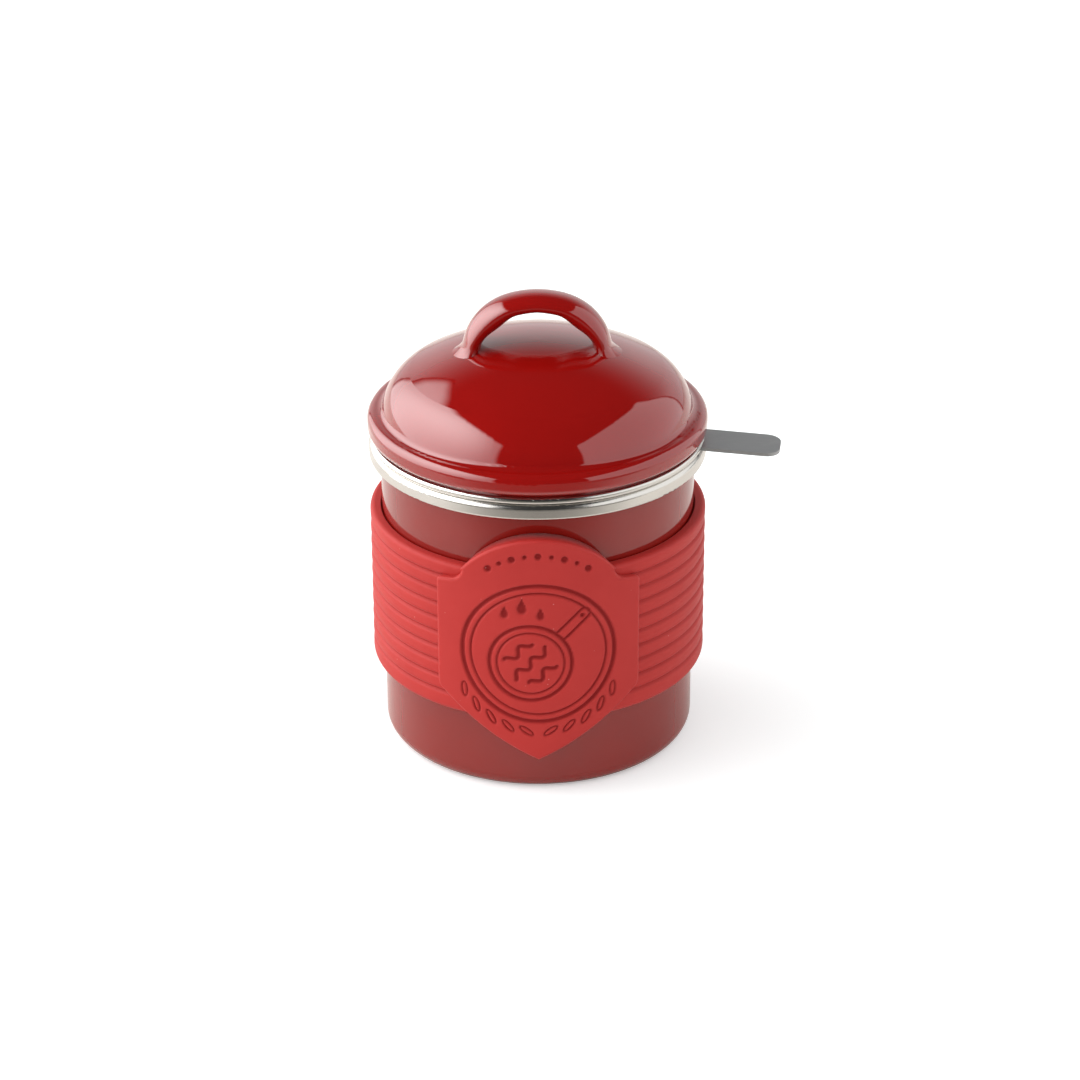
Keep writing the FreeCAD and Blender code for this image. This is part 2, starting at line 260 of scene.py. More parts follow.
def moulded_silicone_group():
    """Silicone: fine matte grain from the mould, a dusty bloom, and painted shade in the hollows where Depth
    is high.
    """
    tree, value, out = new_group(
        "ShaderNodeTree", "moulded_silicone",
        {"Colour": (COLOUR, silicone_red), "Deep Colour": (COLOUR, silicone_painted_shade), "Depth": (FLOAT, 0.0),
         "Grain Size": (FLOAT, 0.00035), "Roughness": (FLOAT, 0.50)},
        {"Colour": COLOUR, "Roughness": FLOAT, "Height": FLOAT})
    place = add_node(tree, "ShaderNodeTexCoord").outputs["Object"]
    grain = add_node(tree, "ShaderNodeTexNoise", Vector=place, Scale=value["Grain Size"].inverse(),
                     Detail=2.0, Roughness=0.6)
    bloom = add_node(tree, "ShaderNodeTexNoise", Vector=place, Scale=55.0, Detail=5.0, Roughness=0.6)
    dust = add_node(tree, "ShaderNodeTexVoronoi", {"feature": "F1"}, Vector=place, Scale=420.0,
                    Randomness=1.0)
    dust_parts = add_node(tree, "ShaderNodeSeparateColor", Color=dust.outputs["Color"])
    few = Value(tree, dust_parts.outputs["Green"]).smooth_step(0.90, 0.93)
    mote = Value(tree, dust.outputs["Distance"]).smooth_step(0.10, 0.04) * few
    # Painted shade where Depth is high, plus a random bloom of darker tone
    shade = value["Depth"] + Value(tree, bloom.outputs["Fac"]).smooth_step(0.4, 0.8) * 0.10
    clean = mixed(tree, shade.limited(0.0, 1.0), value["Colour"], value["Deep Colour"])
    plug(tree, mixed(tree, mote * 0.30, clean, dust_pink), out.inputs["Colour"])
    rough = value["Roughness"] + Value(tree, bloom.outputs["Fac"]) * 0.12 + value["Depth"] * 0.3
    plug(tree, rough, out.inputs["Roughness"])
    plug(tree, Value(tree, grain.outputs["Fac"]) + mote * 0.5, out.inputs["Height"])
    return tree


fired_enamel = fired_enamel_group()
turned_steel = turned_steel_group()
rolled_strip = rolled_strip_group()
moulded_silicone = moulded_silicone_group()


def surface(name, effect, settings, bump_height, painted_shade_mask=None, **constants):
    """A material whose colour, roughness and bump come from a shared effect, with constants on the shader; a
    mask attribute, if given, feeds the effect's painted shade.
    """
    material = bpy.data.materials.new(name)
    material.use_nodes = True
    tree = material.node_tree
    shader = tree.nodes["Principled BSDF"]
    group = add_node(tree, "ShaderNodeGroup", {"node_tree": effect})
    for label, setting in settings.items():
        group.inputs[label].default_value = setting
    # Painted shade: a mesh attribute says how dark the colour is made in grooves and engraved lines
    if painted_shade_mask:
        depth = add_node(tree, "ShaderNodeAttribute", {"attribute_name": painted_shade_mask})
        plug(tree, depth.outputs["Fac"], group.inputs["Depth"])
    bump = add_node(tree, "ShaderNodeBump", Height=group.outputs["Height"], Distance=bump_height,
                    Strength=1.0)
    plug(tree, group.outputs["Colour"], shader.inputs["Base Color"])
    plug(tree, group.outputs["Roughness"], shader.inputs["Roughness"])
    plug(tree, bump.outputs["Normal"], shader.inputs["Normal"])
    for label, setting in constants.items():
        shader.inputs[label.replace("_", " ")].default_value = setting
    return material


enamel_lid = surface("red_enamel_lid", fired_enamel, {"Swell Size": 0.008, "Gloss": 0.04},
                     bump_height=0.000014, IOR=1.55, Coat_Weight=0.7, Coat_Roughness=0.03)
enamel_handle = surface("red_enamel_handle", fired_enamel, {"Swell Size": 0.006, "Gloss": 0.04},
                        bump_height=0.000008, IOR=1.55, Coat_Weight=0.7, Coat_Roughness=0.03)
enamel_can = surface("red_enamel_can", fired_enamel,
                     {"Colour": can_red, "Deep Colour": can_deep, "Swell Size": 0.011, "Gloss": 0.07},
                     bump_height=0.000016, IOR=1.5, Coat_Weight=0.3, Coat_Roughness=0.05)
band_steel = surface("bright_steel_band", turned_steel, {"Gloss": 0.17},
                     bump_height=0.0000001, Metallic=1.0)
ring_steel = surface("bright_steel_ring", turned_steel, {"Gloss": 0.14},
                     bump_height=0.0000001, Metallic=1.0)
wire_steel = surface("steel_mesh", turned_steel, {"Gloss": 0.20, "Line Pitch": 0.0003},
                     bump_height=0.0000002, Metallic=1.0)
tab_steel = surface("satin_steel_tab", rolled_strip, {}, bump_height=0.000001, Metallic=0.9)
# Both silicone materials take painted shade in their grooves and engraved lines from a mesh attribute
silicone_band = surface("red_silicone_band", moulded_silicone, {}, painted_shade_mask="painted_groove_shade",
                        bump_height=0.000014, IOR=1.41, Sheen_Weight=0.04, Sheen_Roughness=0.4)
silicone_badge = surface("red_silicone_badge", moulded_silicone, {"Grain Size": 0.0003}, painted_shade_mask="painted_groove_shade",
                         bump_height=0.000012, IOR=1.41, Sheen_Weight=0.04, Sheen_Roughness=0.4)


def dress(node, material):
    """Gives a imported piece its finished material."""
    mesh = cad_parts[node].data
    if not mesh.materials:
        mesh.materials.append(material)
    for i in range(len(mesh.materials)):
        mesh.materials[i] = material


dress("bin_can", enamel_can)
dress("rim_band", band_steel)
dress("strainer_ring", ring_steel)
dress("strainer_tab", tab_steel)
dress("lid_dome", enamel_lid)
dress("lid_collar", enamel_lid)
dress("lid_handle", enamel_handle)


def add_object(name, mesh, material):
    """An object at the origin with one material and smooth shading."""
    piece = bpy.data.objects.new(name, mesh)
    bpy.context.scene.collection.objects.link(piece)
    mesh.materials.clear()
    mesh.materials.append(material)
    mesh.polygons.foreach_set("use_smooth", [True] * len(mesh.polygons))
    return piece


# Ribbed band of the sleeve, as geometry nodes

def round_drop(radius, past):
    """How far a rounded edge falls away where a place is this far past the start of the round."""
    return radius - (radius * radius - past * past).math("SQRT")


def ribbed_band_tree(material):
    """A closed ring whose outer face is grooved at an even pitch and rounded at both ends."""
    tree, value, out = new_group(
        "GeometryNodeTree", "ribbed_band",
        {"Geometry": (GEOMETRY, None), "Bore Radius": (FLOAT, sleeve_bore),
         "Outer Radius": (FLOAT, sleeve_radius), "Bottom": (FLOAT, sleeve_bottom),
         "Top": (FLOAT, sleeve_top), "Groove Pitch": (FLOAT, groove_pitch),
         "First Groove": (FLOAT, groove_first), "Groove Span": (FLOAT, groove_pitch * (groove_count - 0.5)),
         "Groove Depth": (FLOAT, 0.7 * MM), "Groove Half Width": (FLOAT, 0.95 * MM),
         "Rib Crown": (FLOAT, 0.16 * MM), "Top Round": (FLOAT, 1.9 * MM), "Bottom Round": (FLOAT, 1.3 * MM),
         "Section Step": (FLOAT, 0.27 * MM), "Groove Shade": (FLOAT, 0.4)},
        {"Geometry": GEOMETRY})
    wall = value["Outer Radius"] - value["Bore Radius"]
    tall = value["Top"] - value["Bottom"]
    section = add_node(tree, "GeometryNodeCurvePrimitiveQuadrilateral", {"mode": "RECTANGLE"})
    plug(tree, wall, section.inputs["Width"])
    plug(tree, tall, section.inputs["Height"])
    fine = add_node(tree, "GeometryNodeResampleCurve", {"mode": "LENGTH"}, Curve=section.outputs[0])
    plug(tree, value["Section Step"], fine.inputs["Length"])
    place = add_node(tree, "GeometryNodeInputPosition").outputs[0]
    spot = add_node(tree, "ShaderNodeSeparateXYZ", Vector=place)
    across = Value(tree, spot.outputs["X"])
    height = Value(tree, spot.outputs["Y"]) + (value["Top"] + value["Bottom"]) / 2.0
    outer = across.smooth_step(wall * -0.5, wall * 0.5)
    below_first = value["First Groove"] - height
    from_groove = (below_first + value["Groove Pitch"] / 2.0).math("FLOORED_MODULO", value["Groove Pitch"])
    from_groove = (from_groove - value["Groove Pitch"] / 2.0).math("ABSOLUTE")
    grooved = below_first.math("GREATER_THAN", value["Groove Pitch"] * -0.5)
    grooved = grooved * below_first.math("LESS_THAN", value["Groove Span"])
    cut = from_groove.smooth_step(value["Groove Half Width"], 0.0) * value["Groove Depth"]
    crown = (from_groove / value["Groove Pitch"] * 2.0) * value["Rib Crown"]
    top_in = (value["Top Round"] - (value["Top"] - height)).limited(0.0, value["Top Round"])
    low_in = (value["Bottom Round"] - (height - value["Bottom"])).limited(0.0, value["Bottom Round"])
    top_cut = round_drop(value["Top Round"], top_in)
    low_cut = round_drop(value["Bottom Round"], low_in)
    inward = (cut + value["Rib Crown"] - crown) * grooved + top_cut + low_cut
    moved = across - inward * outer
    spot_new = add_node(tree, "ShaderNodeCombineXYZ")
    plug(tree, moved, spot_new.inputs[0])
    plug(tree, Value(tree, spot.outputs["Y"]), spot_new.inputs[1])
    shaped = add_node(tree, "GeometryNodeSetPosition", Geometry=fine.outputs[0], Position=spot_new.outputs[0])
    # Painted shade: how much each groove darkens the colour, stored on the points
    marked = add_node(tree, "GeometryNodeStoreNamedAttribute", {"data_type": "FLOAT", "domain": "POINT"},
                      Geometry=shaped.outputs[0], Name="painted_groove_shade")
    shade = from_groove.smooth_step(value["Groove Half Width"] * 0.8, 0.0) * grooved * outer
    plug(tree, shade * value["Groove Shade"], marked.inputs["Value"])
    ring = add_node(tree, "GeometryNodeCurvePrimitiveCircle", {"mode": "RADIUS"}, Resolution=ring_sides)
    plug(tree, (value["Outer Radius"] + value["Bore Radius"]) / 2.0, ring.inputs["Radius"])
    swept = add_node(tree, "GeometryNodeCurveToMesh", Curve=ring.outputs[0], Profile_Curve=marked.outputs[0])
    lift = add_node(tree, "ShaderNodeCombineXYZ")
    plug(tree, (value["Top"] + value["Bottom"]) / 2.0, lift.inputs[2])
    placed = add_node(tree, "GeometryNodeTransform", Geometry=swept.outputs[0], Translation=lift.outputs[0])
    real = add_node(tree, "GeometryNodeRealizeInstances", Geometry=placed.outputs[0])
    painted = add_node(tree, "GeometryNodeSetMaterial", Geometry=real.outputs[0], Material=material)
    plug(tree, painted.outputs[0], out.inputs["Geometry"])
    return tree


def woven_bowl_tree(material):
    """Crossing wires, waved over and under each other and drawn into a bowl with a flat floor."""
    tree, value, out = new_group(
        "GeometryNodeTree", "woven_bowl",
        {"Geometry": (GEOMETRY, None), "Pitch": (FLOAT, 1.7 * MM), "Wire Radius": (FLOAT, 0.17 * MM),
         "Floor Radius": (FLOAT, 29.7 * MM), "Corner Radius": (FLOAT, 7.8 * MM), "Wall Angle": (FLOAT, 1.30),
         "Reach": (FLOAT, 59.0 * MM), "Neck Radius": (FLOAT, 41.65 * MM),
         "Floor Height": (FLOAT, 67.65 * MM)},
        {"Geometry": GEOMETRY})
    count = (value["Reach"] * 2.0 / value["Pitch"]).math("FLOOR")
    lanes = add_node(tree, "GeometryNodeMeshLine", {"mode": "OFFSET"})
    plug(tree, count, lanes.inputs["Count"])
    start = add_node(tree, "ShaderNodeCombineXYZ")
    plug(tree, (count - 1.0) * value["Pitch"] * -0.5, start.inputs[0])
    plug(tree, start.outputs[0], lanes.inputs["Start Location"])
    step = add_node(tree, "ShaderNodeCombineXYZ")
    plug(tree, value["Pitch"], step.inputs[0])
    plug(tree, step.outputs[0], lanes.inputs["Offset"])
    ends = []
    for sign in (-1.0, 1.0):
        end = add_node(tree, "ShaderNodeCombineXYZ")
        plug(tree, value["Reach"] * sign, end.inputs[1])
        ends.append(end.outputs[0])
    wire = add_node(tree, "GeometryNodeCurvePrimitiveLine", {"mode": "POINTS"}, Start=ends[0], End=ends[1])
    bent = add_node(tree, "GeometryNodeResampleCurve", {"mode": "LENGTH"}, Curve=wire.outputs[0])
    plug(tree, value["Pitch"] / 2.0, bent.inputs["Length"])
    laid = add_node(tree, "GeometryNodeInstanceOnPoints", Points=lanes.outputs[0], Instance=bent.outputs[0])
    wires = add_node(tree, "GeometryNodeRealizeInstances", Geometry=laid.outputs[0])
    layers = []
    for quarter, side in ((0.0, 1.0), (math.pi / 2, -1.0)):
        spun = add_node(tree, "GeometryNodeTransform", Geometry=wires.outputs[0], Rotation=(0, 0, quarter))
        spot = add_node(tree, "ShaderNodeSeparateXYZ",
                        Vector=add_node(tree, "GeometryNodeInputPosition").outputs[0])
        u = Value(tree, spot.outputs["X"])
        v = Value(tree, spot.outputs["Y"])
        flat = (u * u + v * v).math("SQRT").math("MAXIMUM", 0.01 * MM)
        past = flat - value["Floor Radius"]
        bend = (past / value["Corner Radius"]).limited(0.0, value["Wall Angle"])
        climb = (past - value["Corner Radius"] * value["Wall Angle"]).math("MAXIMUM", 0.0)
        out_to = flat.math("MINIMUM", value["Floor Radius"]) + value["Corner Radius"] * bend.math("SINE")
        out_to = (out_to + climb * value["Wall Angle"].math("COSINE")).math("MINIMUM", value["Neck Radius"])
        up_to = value["Corner Radius"] * (bend.math("COSINE") * -1.0 + 1.0)
        up_to = up_to + climb * value["Wall Angle"].math("SINE")
        wave = (u / value["Pitch"] * math.pi).math("COSINE") * (v / value["Pitch"] * math.pi).math("COSINE")
        over = wave * value["Wire Radius"] * side
        spread = (out_to - over * bend.math("SINE")) / flat
        spot_new = add_node(tree, "ShaderNodeCombineXYZ")
        plug(tree, u * spread, spot_new.inputs[0])
        plug(tree, v * spread, spot_new.inputs[1])
        plug(tree, up_to + over * bend.math("COSINE") + value["Floor Height"], spot_new.inputs[2])
        trimmed = add_node(tree, "GeometryNodeDeleteGeometry", {"domain": "POINT"}, Geometry=spun.outputs[0])
        plug(tree, flat.math("GREATER_THAN", value["Reach"]), trimmed.inputs["Selection"])
        shaped = add_node(tree, "GeometryNodeSetPosition", Geometry=trimmed.outputs[0],
                          Position=spot_new.outputs[0])
        layers.append(shaped.outputs[0])
    joined = add_node(tree, "GeometryNodeJoinGeometry")
    for layer in layers:
        tree.links.new(layer, joined.inputs[0])
    round_wire = add_node(tree, "GeometryNodeCurvePrimitiveCircle", {"mode": "RADIUS"}, Resolution=wire_sides)
    plug(tree, value["Wire Radius"], round_wire.inputs["Radius"])
    solid = add_node(tree, "GeometryNodeCurveToMesh", Curve=joined.outputs[0],
                     Profile_Curve=round_wire.outputs[0], Fill_Caps=True)
    real = add_node(tree, "GeometryNodeRealizeInstances", Geometry=solid.outputs[0])
    painted = add_node(tree, "GeometryNodeSetMaterial", Geometry=real.outputs[0], Material=material)
    plug(tree, painted.outputs[0], out.inputs["Geometry"])
    return tree


def grown(name, tree, material):
    """The plain mesh that a geometry node tree makes, as an object."""
    seed = bpy.data.objects.new(name + "_seed", bpy.data.meshes.new(name + "_seed"))
    bpy.context.scene.collection.objects.link(seed)
    modifier = seed.modifiers.new("grow", "NODES")
    modifier.node_group = tree
    bpy.context.view_layer.update()
    graph = bpy.context.evaluated_depsgraph_get()
    mesh = bpy.data.meshes.new_from_object(seed.evaluated_get(graph), depsgraph=graph)
    mesh.name = name
    seed.modifiers.remove(modifier)
    bpy.data.objects.remove(seed)
    return add_object(name, mesh, material)


# Badge: a plate that follows the sleeve, with a generic engraving of a pan, leaves and drops

# Outline in millimetres: places across the badge, and heights above the standing surface
badge_tip = 12.6
badge_top = 81.8
badge_half_width = 28.6
flank_pull = (16.3, 20.6)
flank_end = (28.0, 32.3)
flank_bend_pull = 33.2
flank_bend_top = 35.0
shoulder_start = 65.4
shoulder_pull = 66.7
shoulder_end = (27.2, 66.9)
neck_start = (24.6, 67.2)
neck_pull = (22.2, 67.7)
neck_end = (21.4, 70.4)
head_half_width = 21.6
head_rise = 10.8
head_first_angle = 29.5
rim_round = 0.95

# Engraving in millimetres, each line by its half width
broad_line = 0.55
fine_line = 0.28
pan_line = 0.50
pan_floor_line = 0.26
pan_handle_line = 0.35
pan_hole_radius = 0.65
leaf_line = 0.22
ring_centre = (0.0, 46.5)
ring_radius = 21.3
inner_ring_radius = 19.0
pan_centre = (-2.2, 43.6)
pan_radius = 11.6
pan_floor_radius = 9.5
pan_handle_root = (6.3, 52.1)
pan_handle_end = (12.9, 58.7)
pan_handle_half_width = 1.5
pan_hole = (12.3, 58.1)
strip_spacing = 4.6
strip_half_length = 6.6
strip_shortening = 0.45
strip_wave = 0.77
strip_wave_rate = 1.1
strip_slant = 0.70
strip_stagger = 0.75
leaf_count = 5
leaf_first_angle = -82
leaf_step_angle = 12.5
leaf_reach = 24.6
leaf_lean = 28
leaf_half_size = (2.5, 0.95)
leaf_inset = 0.25
drops = ((-9.5, 59.2, 1.15), (-4.6, 61.2, 1.45), (0.6, 59.0, 1.15))
drop_height = 2.2
drop_taper = 0.45
drop_fill = 0.8
dots_each_side = 4
large_dot = 0.95
small_dot = 0.62
dot_step_angle = 9.5
dot_row_half_size = (22.6, 21.2)
dot_row_height = 55.7
engraved_depth = 0.55
engraving_clearance = 1.2
engraving_fade = 0.6
# How dark the painted shade in the engraved lines is, from 0 to 1
badge_painted_shade = 0.9

# Grid of the badge's face, in millimetres
edge_hair = 0.001
row_step_finest = 0.03
row_step_widest = 0.30
row_step_growth = 0.12
column_count = 191
column_crowding = 0.86


def segment_distance(x, z, start, end):
    """Distance of each point to a straight line between two points."""
    ax, az = start
    bx, bz = end
    run, rise = bx - ax, bz - az
    part = np.clip(((x - ax) * run + (z - az) * rise) / (run * run + rise * rise), 0, 1)
    return np.hypot(x - ax - part * run, z - az - part * rise)


def arc_points(centre, radius, start, end, count):
    """Points of a round arc between two angles in degrees."""
    angles = np.radians(np.linspace(start, end, count))
    return [(centre[0] + radius * math.cos(a), centre[1] + radius * math.sin(a)) for a in angles]


def path_distance(x, z, points):
    """Distance of each point to a line that runs through all the points of a path."""
    distance = np.full(x.shape, 1e3)
    for start, end in zip(points, points[1:]):
        distance = np.minimum(distance, segment_distance(x, z, start, end))
    return distance


def ellipse_distance(x, z, centre, across, tall, tilt):
    """Signed distance, near enough, to an ellipse tilted by some degrees."""
    turn = math.radians(tilt)
    u = (x - centre[0]) * math.cos(turn) + (z - centre[1]) * math.sin(turn)
    v = -(x - centre[0]) * math.sin(turn) + (z - centre[1]) * math.cos(turn)
    scale = np.sqrt((u / across) ** 2 + (v / tall) ** 2) + 1e-9
    slope = np.sqrt((u / across ** 2) ** 2 + (v / tall ** 2) ** 2) + 1e-9
    return scale * (scale - 1) / slope


def quadratic(start, pull, end, count):
    """Points of a soft bend that leaves start and reaches end towards one pull point."""
    steps = np.linspace(0, 1, count)
    return [tuple((1 - t) ** 2 * np.array(start) + 2 * t * (1 - t) * np.array(pull) + t ** 2 * np.array(end))
            for t in steps]


def badge_outline():
    """Right half of the badge's outline in millimetres, from the tip at the bottom to the top."""
    flank = quadratic((0.0, badge_tip), flank_pull, flank_end, 14)
    bend = quadratic(flank_end, (badge_half_width, flank_bend_pull), (badge_half_width, flank_bend_top), 5)
    shoulder = quadratic((badge_half_width, shoulder_start), (badge_half_width, shoulder_pull),
                         shoulder_end, 6)
    neck = quadratic(neck_start, neck_pull, neck_end, 8)
    head_radius = (head_half_width ** 2 + head_rise ** 2) / (2 * head_rise)
    head = arc_points((0, badge_top - head_radius), head_radius, head_first_angle, 90, 16)
    return flank[:-1] + bend + shoulder + neck + head


def line_mask(distance, half_width, soft=0.18):
    """1 in the middle of an engraved line and 0 outside it, with a soft edge."""
    return np.clip((half_width + soft - distance) / (2 * soft), 0, 1)


def engraved_rings(x, z):
    """Two rings round the picture, the outer one broad and the inner one fine."""
    reach = np.hypot(x - ring_centre[0], z - ring_centre[1])
    outer = line_mask(abs(reach - ring_radius), broad_line)
    return np.maximum(outer, line_mask(abs(reach - inner_ring_radius), fine_line))


def engraved_pan(x, z):
    """Frying pan seen from above, its handle up to the right with a hole at its end."""
    reach = np.hypot(x - pan_centre[0], z - pan_centre[1])
    deep = line_mask(abs(reach - pan_radius), pan_line)
    deep = np.maximum(deep, line_mask(abs(reach - pan_floor_radius), pan_floor_line))
    shaft = segment_distance(x, z, pan_handle_root, pan_handle_end)
    outside_pan = reach > pan_radius
    deep = np.maximum(deep, line_mask(abs(shaft - pan_handle_half_width), pan_handle_line) * outside_pan)
    return np.maximum(deep, line_mask(np.hypot(x - pan_hole[0], z - pan_hole[1]), pan_hole_radius))


def strip_path(shift):
    """One wavy strip through the pan, slanting up to the right, shifted sideways from the middle one."""
    half_length = strip_half_length - abs(shift) * strip_shortening
    path = []
    for place in np.linspace(-half_length, half_length, 30):
        wave = strip_wave * math.sin(place * strip_wave_rate)
        across = pan_centre[0] + shift * strip_stagger + place * strip_slant - wave
        height = pan_centre[1] - shift * strip_stagger + place * strip_slant + wave
        path.append((across, height))
    return path


def engraved_strips(x, z):
    """Wavy strips that lie side by side in the pan."""
    deep = np.zeros(x.shape)
    for shift in (-strip_spacing, 0.0, strip_spacing):
        deep = np.maximum(deep, line_mask(path_distance(x, z, strip_path(shift)), broad_line))
    return deep


def engraved_leaves(x, z):
    """Outlined leaves that climb both sides of the badge outside the ring's foot."""
    deep = np.zeros(x.shape)
    for side in (-1, 1):
        for step in range(leaf_count):
            degrees = leaf_first_angle + step * leaf_step_angle
            angle = math.radians(degrees)
            root = (side * leaf_reach * math.cos(angle), ring_centre[1] + leaf_reach * math.sin(angle))
            tilt = degrees + 90 + leaf_lean
            leaf = ellipse_distance(x, z, root, *leaf_half_size, tilt if side > 0 else 180 - tilt)
            deep = np.maximum(deep, line_mask(abs(leaf + leaf_inset), leaf_line))
    return deep


def engraved_drops(x, z):
    """Three drops above the pan, round below and drawn to a point above."""
    deep = np.zeros(x.shape)
    for across, height, size in drops:
        body = np.hypot(x - across, z - height)
        stalk = segment_distance(x, z, (across, height), (across, height + drop_height * size))
        point = np.maximum(stalk + (z - height) * drop_taper, 0)
        deep = np.maximum(deep, line_mask(np.minimum(body, point), size * drop_fill))
    return deep


def engraved_dots(x, z):
    """A row of dots, large and small by turns, that follows the head of the badge."""
    deep = np.zeros(x.shape)
    for step in range(-dots_each_side, dots_each_side + 1):
        angle = math.radians(90 + step * dot_step_angle)
        across = dot_row_half_size[0] * math.cos(angle)
        height = dot_row_height + dot_row_half_size[1] * math.sin(angle)
        size = small_dot if step % 2 else large_dot
        deep = np.maximum(deep, line_mask(np.hypot(x - across, z - height), size))
    return deep


def engraving(x, z):
    """How deep the badge is engraved at each place, from 0 to 1."""
    deep = engraved_rings(x, z)
    for picture in (engraved_pan, engraved_strips, engraved_leaves, engraved_drops, engraved_dots):
        deep = np.maximum(deep, picture(x, z))
    return deep


def badge_rows():
    """Heights of the grid's rows, close together at the tip and the top and wider between them."""
    heights = [badge_tip + edge_hair]
    while heights[-1] < badge_top:
        near = min(heights[-1] - badge_tip, badge_top - heights[-1])
        heights.append(heights[-1] + min(row_step_widest, row_step_finest + row_step_growth * near))
    return np.array(heights[:-1] + [badge_top - edge_hair])


def badge_columns():
    """Places of the grid's columns across the badge, from -1 to 1, closer together at both sides."""
    sweep = math.pi / 2 * column_crowding
    return np.sin(np.linspace(-1, 1, column_count) * sweep) / math.sin(sweep)


def on_drum(across, radius, height):
    """Points in metres at the given millimetres from the can's axis, wrapped round the sleeve."""
    turn = np.arcsin(across / (badge_radius / MM))
    return np.stack([radius * np.sin(turn), -radius * np.cos(turn), height], -1) * MM


def badge_mesh():
    """Grid over the outline with a rounded rim, an engraved face and sides down to the sleeve's bore."""
    outline = np.array(badge_outline())
    steps = np.concatenate([[0.0], np.cumsum(np.hypot(*np.diff(outline, axis=0).T))])
    rows = badge_rows()
    along = np.interp(rows, outline[:, 1], steps)
    half = np.interp(along, steps, outline[:, 0])
    columns = badge_columns()
    x = half[:, None] * columns[None, :]
    z = np.repeat(rows[:, None], len(columns), axis=1)
    loop = np.concatenate([outline, outline[::-1] * (-1, 1)])
    edge = path_distance(x, z, [tuple(point) for point in loop])
    inset = np.clip(rim_round - edge, 0, rim_round)
    drop = rim_round - np.sqrt(np.maximum(rim_round ** 2 - inset ** 2, 0))
    cut = engraving(x, z) * np.clip((edge - engraving_clearance) / engraving_fade, 0, 1)
    front = on_drum(x, badge_radius / MM - drop - engraved_depth * cut, z)
    rear = on_drum(x, np.full_like(x, sleeve_bore / MM), z)
    index = np.arange(x.size).reshape(x.shape)
    offset = x.size
    a, b, c, d = index[:-1, :-1], index[:-1, 1:], index[1:, 1:], index[1:, :-1]
    faces = np.stack([a, b, c, d], -1).reshape(-1, 4).tolist()
    border = np.concatenate([index[0, :-1], index[:-1, -1], index[-1, :0:-1], index[:0:-1, 0]]).tolist()
    sides = [(before, before + offset, here + offset, here)
             for before, here in zip(border[-1:] + border, border)]
    lower = [(first + offset, fourth + offset, third + offset, second + offset)
             for first, second, third, fourth in faces]
    mesh = bpy.data.meshes.new("sleeve_badge")
    points = np.concatenate([front.reshape(-1, 3), rear.reshape(-1, 3)])
    mesh.from_pydata(points.tolist(), [], faces + sides + lower)
    # Painted shade: the engraved lines darken the colour in step with how deep they are cut
    painted_groove_shade = mesh.attributes.new("painted_groove_shade", "FLOAT", "POINT")
    painted_groove_shade.data.foreach_set("value", np.concatenate([cut.ravel() * badge_painted_shade, np.zeros(offset)]))
    return mesh


band = grown("sleeve_band", ribbed_band_tree(silicone_band), silicone_band)
badge = add_object("sleeve_badge", badge_mesh(), silicone_badge)
for piece in (band, badge):
    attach(piece, "sleeve")
    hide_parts("silicone_sleeve")

bowl = grown("strainer_wires", woven_bowl_tree(wire_steel), wire_steel)
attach(bowl, "strainer")
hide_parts("strainer_mesh")


# Studio: a pale floor that melts into a white background, a tall glowing wall on the left and a dimmer card
# on the right

floor_size = 6.0
floor_glow = 0.34
backdrop_level = 0.75
# Where the backdrop starts and where it is full, by how far a direction points backwards and upwards
backdrop_backward = (-0.1, 0.7)
backdrop_upward = (0.75, 0.25)
room_level = 0.03
fill_level = 0.65
# Painted reflection: where the floor in front of the object starts to look dark to glossy rays, and where it
# is darkest
floor_painted_dark_reach = (-0.10, -0.25)


def floor_material():
    """Pale and matt, a little brighter to the camera, with a painted reflection: glossy rays see it warmer
    and dark in front of the object.
    """
    material = bpy.data.materials.new("studio_floor")
    material.use_nodes = True
    tree = material.node_tree
    shader = tree.nodes["Principled BSDF"]
    shader.inputs["Roughness"].default_value = 0.9
    shader.inputs["Specular IOR Level"].default_value = 0.1
    path = add_node(tree, "ShaderNodeLightPath")
    seen = Value(tree, path.outputs["Is Camera Ray"])
    place = add_node(tree, "ShaderNodeTexCoord").outputs["Object"]
    toward = Value(tree, add_node(tree, "ShaderNodeSeparateXYZ", Vector=place).outputs["Y"])
    # Painted reflection: glossy rays see the floor warmer, and dark in front of the object
    painted_reflection = mixed(tree, toward.smooth_step(*floor_painted_dark_reach), floor_painted_reflection, floor_front_painted_reflection)
    plug(tree, mixed(tree, path.outputs["Is Glossy Ray"], floor_white, painted_reflection), shader.inputs["Base Color"])
    shader.inputs["Emission Color"].default_value = (1, 1, 1, 1)
    plug(tree, seen * floor_glow, shader.inputs["Emission Strength"])
    return material


def add_floor():
    """One wide plane at the height that the can stands on."""
    bpy.ops.mesh.primitive_plane_add(size=floor_size)
    floor = bpy.context.object
    floor.name = "studio_floor"
    floor.data.materials.append(floor_material())


def add_world():
    """White to the camera; to everything else a dim room with a pale backdrop low down behind the object."""
    world = bpy.data.worlds.new("studio")
    bpy.context.scene.world = world
    world.use_nodes = True
    tree = world.node_tree
    back = tree.nodes["Background"]
    path = add_node(tree, "ShaderNodeLightPath")
    camera = Value(tree, path.outputs["Is Camera Ray"])
    glossy = Value(tree, path.outputs["Is Glossy Ray"])
    toward = add_node(tree, "ShaderNodeSeparateXYZ",
                      Vector=add_node(tree, "ShaderNodeTexCoord").outputs["Generated"])
    upward = Value(tree, toward.outputs["Z"])
    behind = Value(tree, toward.outputs["Y"])
    backdrop = behind.smooth_step(*backdrop_backward) * upward.smooth_step(*backdrop_upward)
    room = backdrop * backdrop_level + room_level
    level = glossy * room + (glossy * -1.0 + 1.0) * fill_level
    plug(tree, level.math("MAXIMUM", camera), back.inputs["Strength"])
    back.inputs["Color"].default_value = (1, 1, 1, 1)


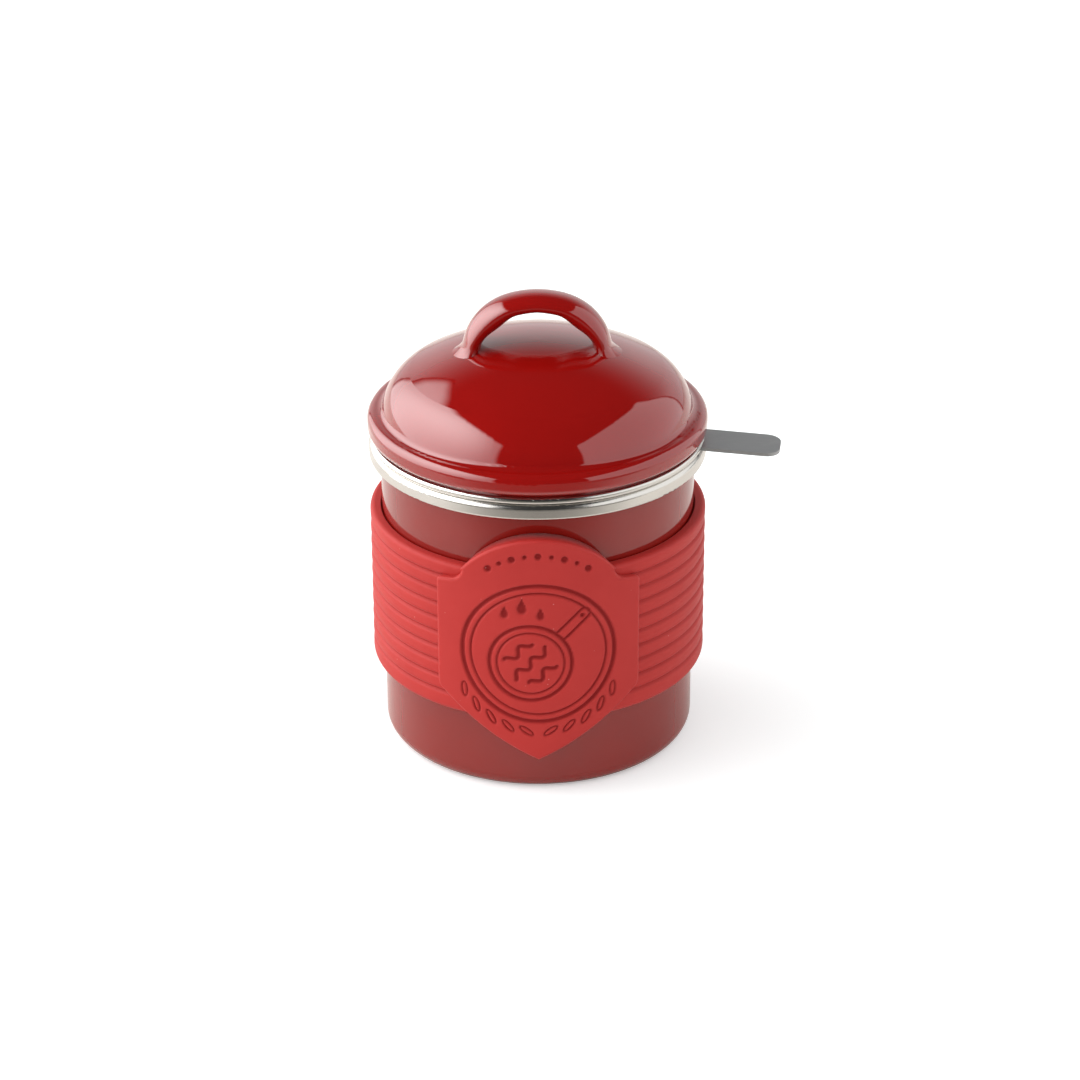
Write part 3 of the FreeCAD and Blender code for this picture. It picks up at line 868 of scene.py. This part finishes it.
def wall_material(name, low, high, level, soft_edge, matt_share, hot_level=0.0, hot_place=(0.0, 0.0),
                  hot_reach=1.0):
    """A glow, stronger round one place, that fades out at the ends and the top.

    Glossy surfaces mirror all of it, and matt ones are lit by their share of it.
    """
    material = bpy.data.materials.new(name)
    material.use_nodes = True
    tree = material.node_tree
    tree.nodes.clear()
    place = add_node(tree, "ShaderNodeTexCoord").outputs["Object"]
    axes = add_node(tree, "ShaderNodeSeparateXYZ", Vector=place)
    along = Value(tree, axes.outputs["Y"])
    height = Value(tree, axes.outputs["Z"])
    aside = along - hot_place[0]
    above = height - hot_place[1]
    from_hot = (aside * aside + above * above).math("SQRT")
    glow = from_hot.smooth_step(hot_reach, 0.0) * hot_level + level
    ends = along.smooth_step(low[0], low[0] + soft_edge) * along.smooth_step(high[0], high[0] - soft_edge)
    top = height.smooth_step(high[1], high[1] - soft_edge)
    mirror = Value(tree, add_node(tree, "ShaderNodeLightPath").outputs["Is Glossy Ray"])
    share = mirror * (1.0 - matt_share) + matt_share
    emission = add_node(tree, "ShaderNodeEmission", Strength=glow * ends * top * share)
    add_node(tree, "ShaderNodeOutputMaterial", Surface=emission.outputs[0])
    return material


def add_wall(name, across, low, high, **glow):
    """A glowing upright wall beside the object that the camera doesn't see, its ends given as (y, z)."""
    corners = [(across, low[0], low[1]), (across, high[0], low[1]), (across, high[0], high[1]),
               (across, low[0], high[1])]
    mesh = bpy.data.meshes.new(name)
    mesh.from_pydata(corners, [], [(0, 1, 2, 3)])
    mesh.materials.append(wall_material(name, low, high, **glow))
    wall = bpy.data.objects.new(name, mesh)
    bpy.context.scene.collection.objects.link(wall)
    wall.visible_camera = False


add_floor()
add_world()
add_wall("left_light_wall", across=-1.0, low=(-1.95, 0.0), high=(1.9, 1.9), level=1.70, soft_edge=0.3,
         matt_share=0.74, hot_level=3.9, hot_place=(0.0, 1.05), hot_reach=1.8)
add_wall("right_light_card", across=1.0, low=(-1.6, 0.0), high=(0.95, 1.5), level=1.2, soft_edge=0.1,
         matt_share=1.2)


def add_camera():
    """The camera that took the photograph, as fitted to the object's outline."""
    camera = bpy.data.objects.new("photo_camera", bpy.data.cameras.new("photo_camera"))
    bpy.context.scene.collection.objects.link(camera)
    camera.data.lens = camera_lens
    camera.data.clip_start = 0.01
    camera.location = camera_place
    tilt = Matrix.Rotation(math.radians(90 - camera_pitch), 4, "X")
    roll = Matrix.Rotation(math.radians(camera_roll), 4, "Z")
    camera.rotation_euler = (tilt @ roll).to_euler()
    bpy.context.scene.camera = camera


add_camera()
bpy.context.scene.view_settings.view_transform = "Standard"
